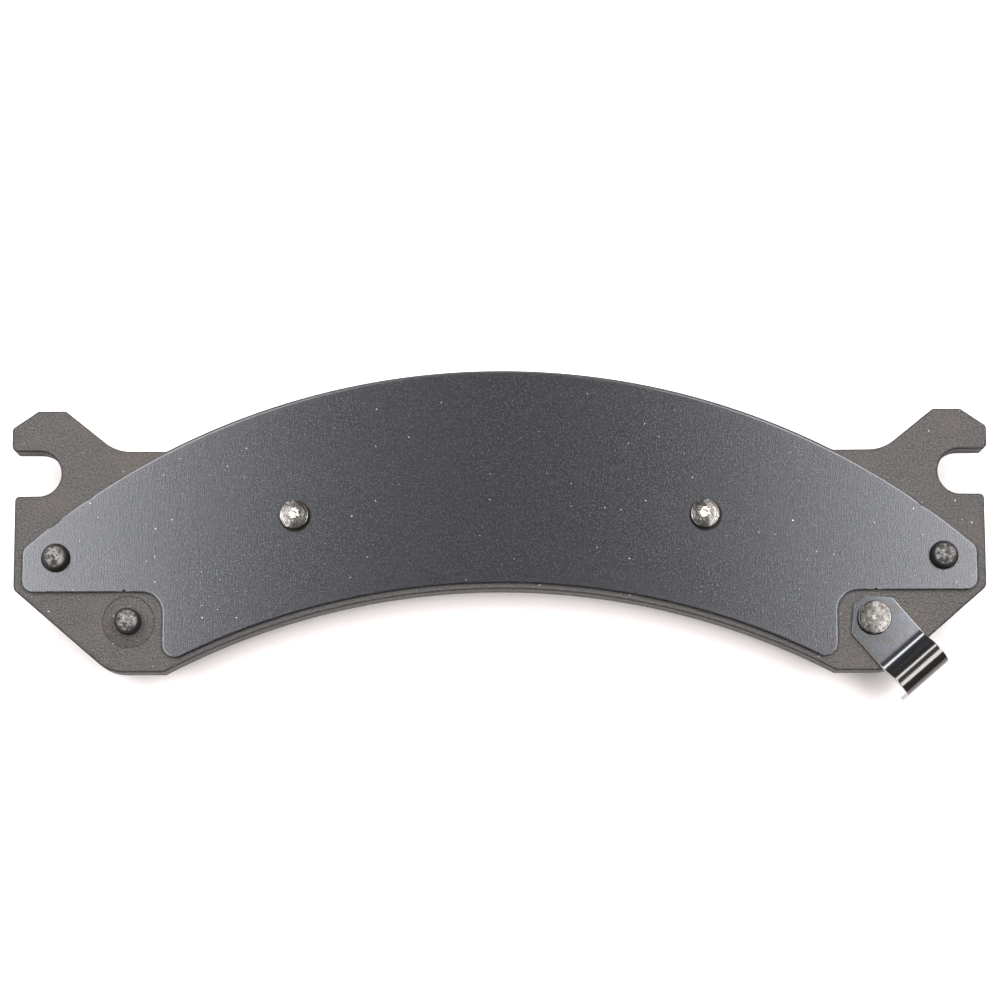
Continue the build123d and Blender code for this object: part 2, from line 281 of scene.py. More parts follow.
@dataclass
class Shell:
    """Collects surfaces worked out as arrays, in millimetres, and joins them into one closed mesh."""

    points: list[Array] = field(default_factory=list)
    faces: list[list[list[int]]] = field(default_factory=list)
    charts: list[Array] = field(default_factory=list)

    def _start(self) -> int:
        """The index that the next surface's first point gets."""
        return sum(len(p) for p in self.points)

    def _add(self, points: Array, faces: Array, chart: Array | None = None) -> None:
        """Keeps one surface.

        Args:
            points: Its points, n by 3.
            faces: Its faces, as numbers of its own points.
            chart: UV places, n by 2. Without it they are x and y.
        """
        start = self._start()
        self.points.append(points)
        self.faces.append((faces + start).tolist())
        self.charts.append(points[:, :2] if chart is None else chart)

    def grid(self, points: Array, round_u: bool = False, round_v: bool = False,
             chart: Array | None = None) -> None:
        """Adds a surface P(u, v) given on a grid, as quads between neighbouring points.

        Args:
            points: The surface's points, u by v by 3.
            round_u: Whether the last u joins the first.
            round_v: Whether the last v joins the first.
            chart: UV places in millimetres, u by v by 2.
        """
        nu, nv = points.shape[:2]
        index = np.arange(nu * nv).reshape(nu, nv)
        if round_u:
            index = np.concatenate([index, index[:1]], axis=0)
        if round_v:
            index = np.concatenate([index, index[:, :1]], axis=1)
        quads = np.stack([index[:-1, :-1], index[1:, :-1], index[1:, 1:], index[:-1, 1:]], axis=2)
        flat = None if chart is None else chart.reshape(-1, 2)
        self._add(points.reshape(-1, 3), quads.reshape(-1, 4), flat)

    def cap(self, loops: list[Array], height: Callable[[Array], Array], spacing: float) -> None:
        """Fills loops with triangles whose height is a function of place: z = height(x, y).

        Args:
            loops: The outer loop and any holes.
            height: Gives z for points, n by 2.
            spacing: Distance between the inner points, a staggered grid.
        """
        outer = loops[0]
        low, high = outer.min(0), outer.max(0)
        xs = np.arange(low[0], high[0], spacing)
        ys = np.arange(low[1], high[1], spacing * 0.866)
        gx, gy = np.meshgrid(xs, ys, indexing="ij")
        gx = gx + (np.arange(len(ys)) % 2)[None, :] * spacing / 2
        inner = np.stack([gx.ravel(), gy.ravel()], axis=1)
        inner = inner[inside(inner, loops)]
        border = np.concatenate(loops)
        gap = np.min(np.linalg.norm(inner[:, None, :] - border[None, :: 2, :], axis=2), axis=1)
        inner = inner[gap > spacing * 0.4]
        edges, start = [], 0
        for loop in loops:
            ring = np.arange(start, start + len(loop))
            edges += np.stack([ring, np.roll(ring, -1)], axis=1).tolist()
            start += len(loop)
        seeds = [Vector(p) for p in np.concatenate([border, inner]).tolist()]
        made, _, triangles, *_ = delaunay_2d_cdt(seeds, edges, [], INSIDE_LOOPS, 1e-6)
        flat = np.array([p[:] for p in made])
        flat[: len(border)] = border
        triangles = np.array(triangles)
        if len(loops) > 1:
            triangles = triangles[~inside(flat[triangles].mean(1), loops[1:])]
        self._add(np.column_stack([flat, height(flat)]), triangles)

    def rim(self, loop: Array, profile: Array) -> None:
        """Adds a wall: the profile's inset and height carried round a loop.

        P(i, k) = point i of the loop moved inwards by inset k, at height z k.

        Args:
            loop: The outline, anticlockwise.
            profile: Rows of (inset, z).
        """
        flat = np.stack([inset(loop, depth) for depth in profile[:, 0]], axis=1)
        z = np.broadcast_to(profile[None, :, 1:], (*flat.shape[:2], 1))
        self.grid(np.concatenate([flat, z], axis=2), round_u=True)

    def lathe(self, centre: tuple[float, float], profile: Array, count: int = 72) -> None:
        """Adds a turned surface: x = cx + r cos t, y = cy + r sin t, at height z.

        Args:
            centre: Where the axis stands.
            profile: Rows of (r, z). A row with r = 0 closes at a pole.
            count: Points round the axis.
        """
        ring = circle((0.0, 0.0), 1.0, count)
        x = centre[0] + ring[:, :1] * profile[None, :, 0]
        y = centre[1] + ring[:, 1:] * profile[None, :, 0]
        z = np.broadcast_to(profile[None, :, 1], x.shape)
        self.grid(np.stack([x, y, z], axis=2), round_u=True)

    def made(self, name: str, crease: float = 34.0) -> bpy.types.Object:
        """Joins the surfaces, points their faces outwards and puts them in the scene.

        Args:
            name: The piece's name.
            crease: Edges sharper than this many degrees stay sharp.

        Returns:
            The new object, at the origin, in metres.
        """
        mesh = bpy.data.meshes.new(name)
        points = np.concatenate(self.points) * MM
        faces = [f for surface in self.faces for f in surface]
        mesh.from_pydata(points.tolist(), [], faces)
        corner = np.zeros(len(mesh.loops), np.int32)
        mesh.loops.foreach_get("vertex_index", corner)
        layer = mesh.uv_layers.new(name="sheet")
        layer.data.foreach_set("uv", np.concatenate(self.charts)[corner].astype(np.float32).ravel())
        work = bmesh.new()
        work.from_mesh(mesh)
        bmesh.ops.remove_doubles(work, verts=work.verts, dist=MERGE_DISTANCE)
        bmesh.ops.dissolve_degenerate(work, edges=work.edges, dist=MERGE_DISTANCE / 10)
        bmesh.ops.recalc_face_normals(work, faces=work.faces)
        open_edges = sum(not e.is_manifold for e in work.edges)
        work.to_mesh(mesh)
        work.free()
        mesh.polygons.foreach_set("use_smooth", np.ones(len(mesh.polygons), bool))
        mesh.set_sharp_from_angle(angle=math.radians(crease))
        piece = bpy.data.objects.new(name, mesh)
        bpy.context.scene.collection.objects.link(piece)
        log.info("%s: %d faces, %d open edges", name, len(mesh.polygons), open_edges)
        return piece


# ---------------------------------------------------------------- materials


def tone(code: str) -> tuple[float, float, float, float]:
    """Turns an sRGB hex colour into a linear one.

    Args:
        code: The colour, such as #a9a49e.

    Returns:
        Linear red, green and blue, and full alpha.
    """
    parts = np.array([int(code[i : i + 2], 16) for i in (1, 3, 5)]) / 255
    linear = np.where(parts <= 0.04045, parts / 12.92, ((parts + 0.055) / 1.055) ** 2.4)
    return (*linear.tolist(), 1.0)


def add(tree: bpy.types.NodeTree, kind: str, inputs: dict | None = None,
        **settings: str) -> bpy.types.Node:
    """Adds one node, with its settings, input values and links.

    Args:
        tree: The node tree that gets it.
        kind: The node's type, without the ShaderNode in front.
        inputs: Input name or number to a value, to the socket that feeds it, or to a node, whose
            first live output feeds it.
        **settings: The node's own properties.

    Returns:
        The new node.
    """
    node = tree.nodes.new("ShaderNode" + kind)
    for name, value in settings.items():
        setattr(node, name, value)
    for key, value in (inputs or {}).items():
        if isinstance(value, bpy.types.Node):
            value = next(socket for socket in value.outputs if socket.enabled)
        if isinstance(value, bpy.types.NodeSocket):
            tree.links.new(value, node.inputs[key])
        else:
            node.inputs[key].default_value = value
    return node


MIX_FACTOR, MIX_A, MIX_B = 0, 6, 7  # a Mix node's inputs when it mixes colours


@dataclass(frozen=True)
class Finish:
    """What every finish shares: a tree, a place in millimetres and a shader."""

    name: str

    def begin(self) -> tuple[bpy.types.Material, bpy.types.NodeTree, bpy.types.NodeSocket]:
        """Makes an empty material and the place of a point on it, in millimetres.

        Returns:
            The material, its tree and the socket with the place.
        """
        material = bpy.data.materials.new(self.name)
        material.use_nodes = True
        tree = material.node_tree
        tree.nodes.clear()
        where = add(tree, "TexCoord").outputs["Object"]
        place = add(tree, "VectorMath", {0: where, "Scale": 1 / MM}, operation="SCALE")
        return material, tree, place.outputs["Vector"]

    def specks(self, tree: bpy.types.NodeTree, place: bpy.types.NodeSocket, cell: float,
               size: float) -> bpy.types.NodeSocket:
        """Ragged specks of dust, at most one to a cell, of every size from none up.

        Args:
            tree: The material's tree.
            place: The point's place in millimetres.
            cell: How far apart the specks lie, in millimetres.
            size: The largest speck's radius, as a share of the cell.

        Returns:
            1 inside a speck and 0 outside.
        """
        rag = add(tree, "TexNoise", {"Vector": place, "Scale": 1 / 0.25, "Detail": 1.0})
        warped = add(tree, "VectorMath", {0: rag.outputs["Color"], 1: (0.3, 0.3, 0.3), 2: place},
                     operation="MULTIPLY_ADD")
        cells = add(tree, "TexVoronoi", {"Vector": warped, "Scale": 1 / cell})
        chance = add(tree, "SeparateColor", {"Color": cells.outputs["Color"]})
        reach = add(tree, "MapRange", {
            "Value": chance.outputs["Red"], "From Min": 0.35, "To Min": 0.0, "To Max": size,
        })
        return add(tree, "Math", {0: cells.outputs["Distance"], 1: reach},
                   operation="LESS_THAN").outputs[0]

    def close(self, tree: bpy.types.NodeTree, inputs: dict) -> None:
        """Ends the tree with a principled shader that has these inputs."""
        shader = add(tree, "BsdfPrincipled", inputs)
        add(tree, "OutputMaterial", {"Surface": shader})


@dataclass(frozen=True)
class PowderCoat(Finish):
    """Black epoxy powder coat, baked on blasted steel: a pebbled satin skin, scuffed bare on the nib tops.

    The pebbles of such a coat are about 0.2 mm wide. They are drawn at 0.4 mm, so that they show.
    """

    name: str = "powder_coat_baked"
    base: str = "#322a27"
    shade: str = "#060403"
    earth: str = "#33261d"
    # near-black tone of the painted shade on the plate's walls and nib flanks
    painted_shade_tone: str = "#060404"
    bare: str = "#8d8986"
    dust: str = "#a9a49e"
    pebble_mm: float = 0.38
    mottle_mm: float = 9.0
    dust_cell_mm: float = 1.7
    dust_size: float = 0.085
    wear_above: float = 20.95
    back: float = 17.5

    def make(self) -> bpy.types.Material:
        """Builds the material.

        Returns:
            The new material.
        """
        material, tree, place = self.begin()
        mottle = add(tree, "TexNoise", {"Vector": place, "Scale": 1 / self.mottle_mm, "Detail": 4.0})
        pebble = add(tree, "TexNoise", {
            "Vector": place, "Scale": 1 / self.pebble_mm, "Detail": 3.0, "Roughness": 0.6,
        })
        share = add(tree, "MapRange", {"Value": pebble, "From Min": 0.4, "From Max": 0.64})
        colour = add(tree, "Mix", {
            MIX_FACTOR: share, MIX_A: tone(self.shade), MIX_B: tone(self.base),
        }, data_type="RGBA")
        rust = add(tree, "MapRange", {
            "Value": mottle, "From Min": 0.5, "From Max": 0.75, "To Max": 0.6,
        })
        earthy = add(tree, "Mix", {
            MIX_FACTOR: rust, MIX_A: colour, MIX_B: tone(self.earth),
        }, data_type="RGBA")
        speck = self.specks(tree, place, self.dust_cell_mm, self.dust_size)
        dusty = add(tree, "Mix", {
            MIX_FACTOR: speck, MIX_A: earthy, MIX_B: tone(self.dust),
        }, data_type="RGBA")
        # Painted shade: below the back face (rounded edge, walls, pockets) and up the nibs from just above
        # it, the colour is pulled towards a near-black tone; the bare nib tops are laid over it.
        height = add(tree, "SeparateXYZ", {"Vector": place}).outputs["Z"]
        wall_shade = add(tree, "MapRange", {
            "Value": height, "From Min": self.back - 0.04, "From Max": self.back - 0.1, "To Max": 0.85,
        })
        nib_flank_shade = add(tree, "MapRange", {
            "Value": height, "From Min": self.back + 0.1, "From Max": self.back + 0.5,
        })
        dark = add(tree, "Math", {0: wall_shade, 1: nib_flank_shade},
                   operation="MAXIMUM")
        shade_painted = add(tree, "Mix", {
            MIX_FACTOR: dark, MIX_A: dusty, MIX_B: tone(self.painted_shade_tone),
        }, data_type="RGBA")
        top = add(tree, "MapRange", {
            "Value": height, "From Min": self.wear_above, "From Max": self.wear_above + 0.3,
        })
        scuff = add(tree, "TexNoise", {"Vector": place, "Scale": 1 / 1.1, "Detail": 5.0, "Roughness": 0.75})
        bare = add(tree, "MapRange", {"Value": scuff, "From Min": 0.45, "From Max": 0.6})
        worn = add(tree, "Math", {0: top, 1: bare}, operation="MULTIPLY")
        final = add(tree, "Mix", {
            MIX_FACTOR: worn, MIX_A: shade_painted, MIX_B: tone(self.bare),
        }, data_type="RGBA")
        bump = add(tree, "Bump", {"Height": pebble, "Strength": 1.0, "Distance": 0.2 * MM})
        rough = add(tree, "MapRange", {
            "Value": pebble, "From Min": 0.35, "From Max": 0.65, "To Min": 0.58, "To Max": 0.32,
        })
        matt = add(tree, "Math", {0: dark, 1: 0.25, 2: rough},
                   operation="MULTIPLY_ADD")
        self.close(tree, {
            "Base Color": final, "Roughness": matt,
            "Metallic": worn, "Normal": bump,
        })
        return material


@dataclass(frozen=True)
class RubberCoat(Finish):
    """Nitrile rubber rolled on steel sheet: a blue-black satin skin with a fine straight roller grain.

    The grain of such a coat is about 0.1 mm wide. It is drawn at 0.27 mm, so that it shows.
    """

    name: str = "nitrile_rubber_rolled"
    base: str = "#323236"
    shade: str = "#000000"
    sheen: str = "#f3f4fa"
    dust: str = "#9a9ba1"
    grain_mm: float = 0.27
    streak_mm: tuple[float, float] = (0.3, 2.5)
    dust_cell_mm: float = 1.7
    dust_size: float = 0.06
    roughness: float = 0.22
    ior: float = 1.6

    def make(self) -> bpy.types.Material:
        """Builds the material.

        Returns:
            The new material.
        """
        material, tree, place = self.begin()
        stretch = add(tree, "Mapping", {
            "Vector": place, "Scale": (1 / self.streak_mm[0], 1 / self.streak_mm[1], 1 / self.streak_mm[0]),
        })
        streak = add(tree, "TexNoise", {"Vector": stretch, "Scale": 1.0, "Detail": 3.0})
        fine = add(tree, "TexNoise", {
            "Vector": place, "Scale": 1 / self.grain_mm, "Detail": 2.0, "Roughness": 0.65,
        })
        both = add(tree, "Math", {0: streak, 1: 0.5, 2: fine},
                   operation="MULTIPLY_ADD")
        share = add(tree, "MapRange", {"Value": fine, "From Min": 0.47, "From Max": 0.76})
        colour = add(tree, "Mix", {
            MIX_FACTOR: share, MIX_A: tone(self.shade), MIX_B: tone(self.base),
        }, data_type="RGBA")
        speck = self.specks(tree, place, self.dust_cell_mm, self.dust_size)
        dusty = add(tree, "Mix", {
            MIX_FACTOR: speck, MIX_A: colour, MIX_B: tone(self.dust),
        }, data_type="RGBA")
        bump = add(tree, "Bump", {"Height": both, "Strength": 1.0, "Distance": 0.02 * MM})
        rough = add(tree, "MapRange", {
            "Value": fine, "To Min": self.roughness - 0.06, "To Max": self.roughness + 0.06,
        })
        self.close(tree, {
            "Base Color": dusty, "Roughness": rough,
            "IOR": self.ior, "Specular Tint": tone(self.sheen), "Normal": bump,
        })
        return material


@dataclass(frozen=True)
class FormedSteel(Finish):
    """Bright steel, its head formed by an orbiting punch: fine rings and a torn pale patch in the middle.

    The punch leaves rings about 0.1 mm apart. They are drawn 0.3 mm apart, so that they show.
    """

    name: str = "steel_orbital_formed"
    centre: tuple[float, float] = (0.0, 0.0)
    base: str = "#62605e"
    dark: str = "#3b3532"
    torn: str = "#b5b0a7"
    torn_radius: float = 2.2
    torn_at: tuple[float, float] = (-0.1, 0.3)
    ring_mm: float = 0.3
    roughness: float = 0.2

    def make(self) -> bpy.types.Material:
        """Builds the material.

        Returns:
            The new material.
        """
        material, tree, place = self.begin()
        local = add(tree, "Mapping", {"Vector": place, "Location": (-self.centre[0], -self.centre[1], 0)})
        flat = add(tree, "VectorMath", {0: local, 1: (1, 1, 0)}, operation="MULTIPLY")
        radius = add(tree, "VectorMath", {0: flat}, operation="LENGTH").outputs["Value"]
        wobble = add(tree, "TexNoise", {"Vector": local, "Scale": 1 / 0.9, "Detail": 4.0})
        turns = add(tree, "Math", {0: wobble, 1: 0.6, 2: radius}, operation="MULTIPLY_ADD")
        waves = add(tree, "Math", {0: turns, 1: 2 * math.pi / self.ring_mm}, operation="MULTIPLY")
        rings = add(tree, "Math", {0: waves}, operation="SINE")
        shade = add(tree, "MapRange", {"Value": wobble, "From Min": 0.35, "From Max": 0.6})
        satin = add(tree, "Mix", {
            MIX_FACTOR: shade, MIX_A: tone(self.dark), MIX_B: tone(self.base),
        }, data_type="RGBA")
        aside = add(tree, "VectorMath", {
            0: flat, 1: (*self.torn_at, 0),
        }, operation="DISTANCE").outputs["Value"]
        near = add(tree, "MapRange", {
            "Value": aside, "From Min": self.torn_radius, "From Max": 0.0, "To Max": 0.32,
        })
        rag = add(tree, "TexNoise", {
            "Vector": local, "Scale": 1 / 1.1, "Detail": 6.0, "Roughness": 0.72,
        })
        reach = add(tree, "Math", {0: near, 1: rag}, operation="ADD")
        torn = add(tree, "MapRange", {"Value": reach, "From Min": 0.68, "From Max": 0.71})
        colour = add(tree, "Mix", {
            MIX_FACTOR: torn, MIX_A: satin, MIX_B: tone(self.torn),
        }, data_type="RGBA")
        rough = add(tree, "MapRange", {
            "Value": torn, "To Min": self.roughness, "To Max": 0.6,
        })
        ragged = add(tree, "Math", {0: torn, 1: rag}, operation="MULTIPLY")
        relief = add(tree, "Math", {0: ragged, 1: 9.0, 2: rings},
                     operation="MULTIPLY_ADD")
        bump = add(tree, "Bump", {"Height": relief, "Strength": 0.7, "Distance": 0.006 * MM})
        self.close(tree, {
            "Base Color": colour, "Roughness": rough,
            "Metallic": 1.0, "Normal": bump,
        })
        return material


@dataclass(frozen=True)
class BluedSteel(Finish):
    """Spring steel strip, polished and oil-blued: a dark mirror with faint rolling lines.

    Its cut edges are bare. Rolling lines are well under 0.1 mm apart, and are drawn 0.3 mm apart, so
    that they show.
    """

    name: str = "spring_steel_blued"
    base: str = "#505257"
    warm: str = "#4e4c4b"
    # darker, warmer tone for the crest and leg: painted reflection and shade
    bend_shade_tone: str = "#484645"
    bare: str = "#8d8a87"
    steel: float = 0.92
    bend_shade_from: float = 15.5
    roughness: float = 0.15
    line_mm: float = 0.3
    edge_from: float = 5.56
    pit: str = "#15161a"
    pit_cell_mm: float = 1.6
    pit_size: float = 0.1

    def make(self) -> bpy.types.Material:
        """Builds the material, whose pattern follows the strip's own chart.

        Returns:
            The new material.
        """
        material, tree, _ = self.begin()
        chart = add(tree, "UVMap", uv_map="sheet").outputs["UV"]
        lines = add(tree, "Mapping", {"Vector": chart, "Scale": (1 / 9.0, 1 / self.line_mm, 1)})
        rolled = add(tree, "TexNoise", {"Vector": lines, "Scale": 1.0, "Detail": 3.0})
        cloud = add(tree, "TexNoise", {"Vector": chart, "Scale": 1 / 3.0, "Detail": 4.0})
        share = add(tree, "MapRange", {"Value": cloud, "From Min": 0.4, "From Max": 0.7})
        colour = add(tree, "Mix", {
            MIX_FACTOR: share, MIX_A: tone(self.base), MIX_B: tone(self.warm),
        }, data_type="RGBA")
        along = add(tree, "SeparateXYZ", {"Vector": chart})
        # Painted reflection and shade: from the crest on along the strip, the colour turns to a darker,
        # warmer tone.
        bent = add(tree, "MapRange", {
            "Value": along.outputs["X"], "From Min": self.bend_shade_from, "From Max": self.bend_shade_from + 3.0,
        })
        bend_shaded = add(tree, "Mix", {
            MIX_FACTOR: bent, MIX_A: colour, MIX_B: tone(self.bend_shade_tone),
        }, data_type="RGBA")
        pit = self.specks(tree, chart, self.pit_cell_mm, self.pit_size)
        pitted = add(tree, "Mix", {
            MIX_FACTOR: pit, MIX_A: bend_shaded, MIX_B: tone(self.pit),
        }, data_type="RGBA")
        reach = add(tree, "Math", {0: along.outputs["Y"]}, operation="ABSOLUTE")
        cut = add(tree, "Math", {0: reach, 1: self.edge_from}, operation="GREATER_THAN")
        final = add(tree, "Mix", {
            MIX_FACTOR: cut, MIX_A: pitted, MIX_B: tone(self.bare),
        }, data_type="RGBA")
        bump = add(tree, "Bump", {"Height": rolled, "Strength": 0.15, "Distance": 0.01 * MM})
        rough = add(tree, "MapRange", {
            "Value": cut, "To Min": self.roughness, "To Max": 0.35,
        })
        self.close(tree, {
            "Base Color": final, "Roughness": rough,
            "Metallic": self.steel, "Normal": bump,
        })
        return material


@dataclass(frozen=True)
class Compound(Finish):
    """Moulded resin and fibre with chips of metal and mineral, ground flat: dark, speckled and dull."""

    name: str = "friction_compound_ground"
    base: str = "#3a3836"
    light: str = "#5a5652"
    chip: str = "#a98f62"
    grain_mm: float = 0.9
    chip_share: float = 0.12
    roughness: float = 0.75

    def make(self) -> bpy.types.Material:
        """Builds the material.

        Returns:
            The new material.
        """
        material, tree, place = self.begin()
        body = add(tree, "TexNoise", {
            "Vector": place, "Scale": 1 / self.grain_mm, "Detail": 5.0, "Roughness": 0.7,
        })
        shade = add(tree, "MapRange", {"Value": body, "From Min": 0.35, "From Max": 0.65})
        colour = add(tree, "Mix", {
            MIX_FACTOR: shade, MIX_A: tone(self.base), MIX_B: tone(self.light),
        }, data_type="RGBA")
        warped = add(tree, "VectorMath", {0: body.outputs["Color"], 1: (1.2, 1.2, 1.2), 2: place},
                     operation="MULTIPLY_ADD")
        cells = add(tree, "TexVoronoi", {"Vector": warped, "Scale": 1 / self.grain_mm})
        pick = add(tree, "SeparateColor", {"Color": cells.outputs["Color"]})
        chosen = add(tree, "Math", {0: pick.outputs["Red"], 1: self.chip_share}, operation="LESS_THAN")
        reach = add(tree, "MapRange", {"Value": pick.outputs["Green"], "To Min": 0.12, "To Max": 0.36})
        close = add(tree, "Math", {0: cells.outputs["Distance"], 1: reach},
                    operation="LESS_THAN")
        chips = add(tree, "Math", {0: chosen, 1: close}, operation="MULTIPLY")
        final = add(tree, "Mix", {
            MIX_FACTOR: chips, MIX_A: colour, MIX_B: tone(self.chip),
        }, data_type="RGBA")
        bump = add(tree, "Bump", {"Height": body, "Strength": 0.5, "Distance": 0.12 * MM})
        dull = add(tree, "MapRange", {"Value": chips, "To Min": self.roughness, "To Max": 0.35})
        self.close(tree, {
            "Base Color": final, "Roughness": dull,
            "Metallic": chips, "Normal": bump,
        })
        return material


@dataclass(frozen=True)
class ThinLayer(Finish):
    """A film, rubber skin or sheared steel seen only at its edge: one tone, cloudy, finely rough."""

    name: str = "edge_layer"
    base: str = "#2a2928"
    shade: str = "#1d1c1c"
    metallic: float = 0.0
    roughness: float = 0.5
    cloud_mm: float = 1.2

    def make(self) -> bpy.types.Material:
        """Builds the material.

        Returns:
            The new material.
        """
        material, tree, place = self.begin()
        cloud = add(tree, "TexNoise", {"Vector": place, "Scale": 1 / self.cloud_mm, "Detail": 4.0})
        colour = add(tree, "Mix", {
            MIX_FACTOR: cloud, MIX_A: tone(self.shade), MIX_B: tone(self.base),
        }, data_type="RGBA")
        rough = add(tree, "MapRange", {
            "Value": cloud, "To Min": self.roughness - 0.08, "To Max": self.roughness + 0.08,
        })
        bump = add(tree, "Bump", {"Height": cloud, "Strength": 0.2, "Distance": 0.02 * MM})
        self.close(tree, {
            "Base Color": colour, "Roughness": rough,
            "Metallic": self.metallic, "Normal": bump,
        })
        return material


# ---------------------------------------------------------------- the pad's levels and places


@dataclass(frozen=True)
class Levels:
    """Heights of the pad's layers in millimetres, read from the frame."""

    lining: float
    underlayer: float
    front: float
    back: float
    coat: float
    face: float

    @classmethod
    def read(cls) -> "Levels":
        """Takes each height from a CAD node's box.

        Returns:
            The levels.
        """
        film, steel, coat = (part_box(n) for n in ("bonding_film", "shim_steel_core", "shim_outer_rubber"))
        adhesive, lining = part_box("shim_adhesive"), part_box("friction_block")
        values = (lining[1].z, film[0].z, film[1].z, adhesive[0].z, steel[1].z, coat[1].z)
        return cls(*(round(v / MM, 4) for v in values))


LEVELS = Levels.read()
OUTER_CENTRE_Y = -130.0
INNER_CENTRE_Y = -174.65


def placed(piece: bpy.types.Object, slot: Slot, material: bpy.types.Material,
           *nodes: str) -> bpy.types.Object:
    """Gives a piece its material, hides the CAD nodes it stands for and rides it on the pad.

    Args:
        piece: The new piece.
        slot: The record's slot. Not used.
        material: Its material.
        *nodes: The CAD nodes that it replaces.

    Returns:
        The piece.
    """
    piece.data.materials.append(material)
    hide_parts(*nodes)
    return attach(piece, "pad")


@dataclass
class RivetSeat:
    """One rivet: its place, shank, flush cone, seat height and formed head, in millimetres."""

    node: str
    centre: tuple[float, float]
    shank: float
    cone: float
    seat: float
    head: float
    rise: float
    cone_depth: float = 1.4


@dataclass
class BackingPlate:
    """The slotted steel plate, with its nibs, pockets, coined ring and rivet bores."""

    outer_radius: float = 151.67
    inner_radius: float = 150.1
    shoulder_x: float = 69.68
    shoulder_y: float = 4.75
    foot_x: float = 69.67
    foot_y: float = -41.7
    slot_x: float = 96.3
    slot_radius: float = 4.7
    edge_radius: float = 0.45
    front_chamfer: float = 0.15
    margin: float = 0.9
    nib_radius: float = 2.65
    nib_rise: float = 3.75
    nib_root: float = 0.25
    nib_edge: float = 0.95
    nib_crown: float = 0.1
    pocket_radius: float = 2.55
    pocket_depth: float = 4.0
    ring_radius: float = 5.3
    ring_depth: float = 0.03
    ring_groove: float = 0.08
    end_nib: tuple[float, float] = (92.3, -17.85)
    corner_nib: tuple[float, float] = (-77.1, -31.15)

    def outline(self) -> Array:
        """The plate's outline: two arcs, stepped shoulders, slotted ears and cut feet.

        Returns:
            Its points, n by 2, anticlockwise.
        """
        top = edge_arc(OUTER_CENTRE_Y, self.outer_radius, self.shoulder_x, 1.5)
        slot = arc((self.slot_x, 0), self.slot_radius, 90, 270, 25)
        low = edge_arc(INNER_CENTRE_Y, self.inner_radius, self.foot_x, 1.5)[::-1]
        ear = [(80.2, self.shoulder_y), (90.85, 13.35), (96.6, 13.35), (102.0, 9.65),
               (102.0, self.slot_radius)]
        foot = [(101.2, -self.slot_radius), (101.2, -24.3), (80.95, self.foot_y)]
        corners = np.concatenate([top, ear, slot, foot, low])
        ear_radii, foot_radii = [1.0, 8.5, 1.2, 1.0, 1.0, 1.25], [1.0, 1.8, 8.0, 1.0]
        sharp = np.zeros(len(top) - 1)
        radii = np.concatenate([sharp, ear_radii, np.zeros(len(slot)), foot_radii, sharp])
        return resampled(symmetric_outline(corners, radii), 0.5)

    def edge_profile(self) -> Array:
        """The sheared wall with its break line, the rounded back edge and a flat margin.

        Returns:
            Rows of (inset, z) from the front to the back.
        """
        turn = np.radians(np.linspace(0, 90, 8))
        r = self.edge_radius
        rounding = np.stack([r - r * np.cos(turn), LEVELS.back - r + r * np.sin(turn)], axis=1)
        front = [(self.margin, LEVELS.front), (self.front_chamfer, LEVELS.front),
                 (0, LEVELS.front + self.front_chamfer)]
        wall = [(0.0, LEVELS.front + 2.0), (0.02, LEVELS.front + 2.1), (0.0, LEVELS.front + 4.0)]
        return np.concatenate([front, wall, rounding, [(self.margin, LEVELS.back)]])

    def nib_profile(self, sunk: float) -> Array:
        """Radius and height of a nib, from its root fillet over a worn, slightly crowned top.

        Args:
            sunk: How far the coined ring round it lies under the plate's back.

        Returns:
            Rows of (r, z) from the outside to the pole.
        """
        turn = np.radians(np.linspace(0, 90, 7))
        floor, top = LEVELS.back - sunk, LEVELS.back + self.nib_rise
        fillet, edge, drop = self.nib_root, self.nib_edge, self.nib_crown
        root = np.stack([
            self.nib_radius + fillet - fillet * np.sin(turn),
            floor + fillet - fillet * np.cos(turn),
        ], axis=1)
        shoulder = np.stack([
            self.nib_radius - edge + edge * np.cos(turn),
            top - drop - edge + edge * np.sin(turn),
        ], axis=1)
        crown_r = np.linspace(self.nib_radius - edge, 0, 10)[1:]
        crown = np.stack([crown_r, top - drop * (crown_r / (self.nib_radius - edge)) ** 2], axis=1)
        ring = []
        if sunk:
            groove = LEVELS.back - self.ring_groove
            ring = [(self.ring_radius + 0.16, LEVELS.back), (self.ring_radius + 0.06, groove),
                    (self.ring_radius - 0.06, groove), (self.ring_radius - 0.2, floor)]
        return np.concatenate([np.array(ring).reshape(-1, 2), root, shoulder, crown])

    def build(self, seats: list[RivetSeat]) -> bpy.types.Object:
        """Makes the plate's mesh.

        Args:
            seats: The rivets that pass through it.

        Returns:
            The piece.
        """
        shell = Shell()
        outline = self.outline()
        shell.rim(outline, self.edge_profile())
        margin = inset(outline, self.margin)
        back_holes, front_holes = [margin], [margin]
        x, y = self.end_nib
        for centre, sunk in (((-x, y), 0.0), ((x, y), 0.0), (self.corner_nib, self.ring_depth)):
            profile = self.nib_profile(sunk)
            shell.lathe(centre, profile)
            back_holes.append(circle(centre, profile[0, 0]))
            floor = LEVELS.front + self.pocket_depth
            pocket = np.array([(self.pocket_radius, LEVELS.front), (self.pocket_radius, floor - 0.2),
                               (self.pocket_radius - 0.2, floor), (0, floor)])
            shell.lathe(centre, pocket)
            front_holes.append(circle(centre, self.pocket_radius))
        for seat in seats:
            bore = np.array([(seat.shank / 2, LEVELS.back), (seat.shank / 2, LEVELS.front + seat.cone_depth),
                             (seat.cone / 2, LEVELS.front)])
            shell.lathe(seat.centre, bore)
            back_holes.append(circle(seat.centre, seat.shank / 2))
            front_holes.append(circle(seat.centre, seat.cone / 2))
        shell.cap(back_holes, lambda p: np.full(len(p), LEVELS.back), 2.5)
        shell.cap(front_holes, lambda p: np.full(len(p), LEVELS.front), 2.5)
        return shell.made("backing_plate_coated")


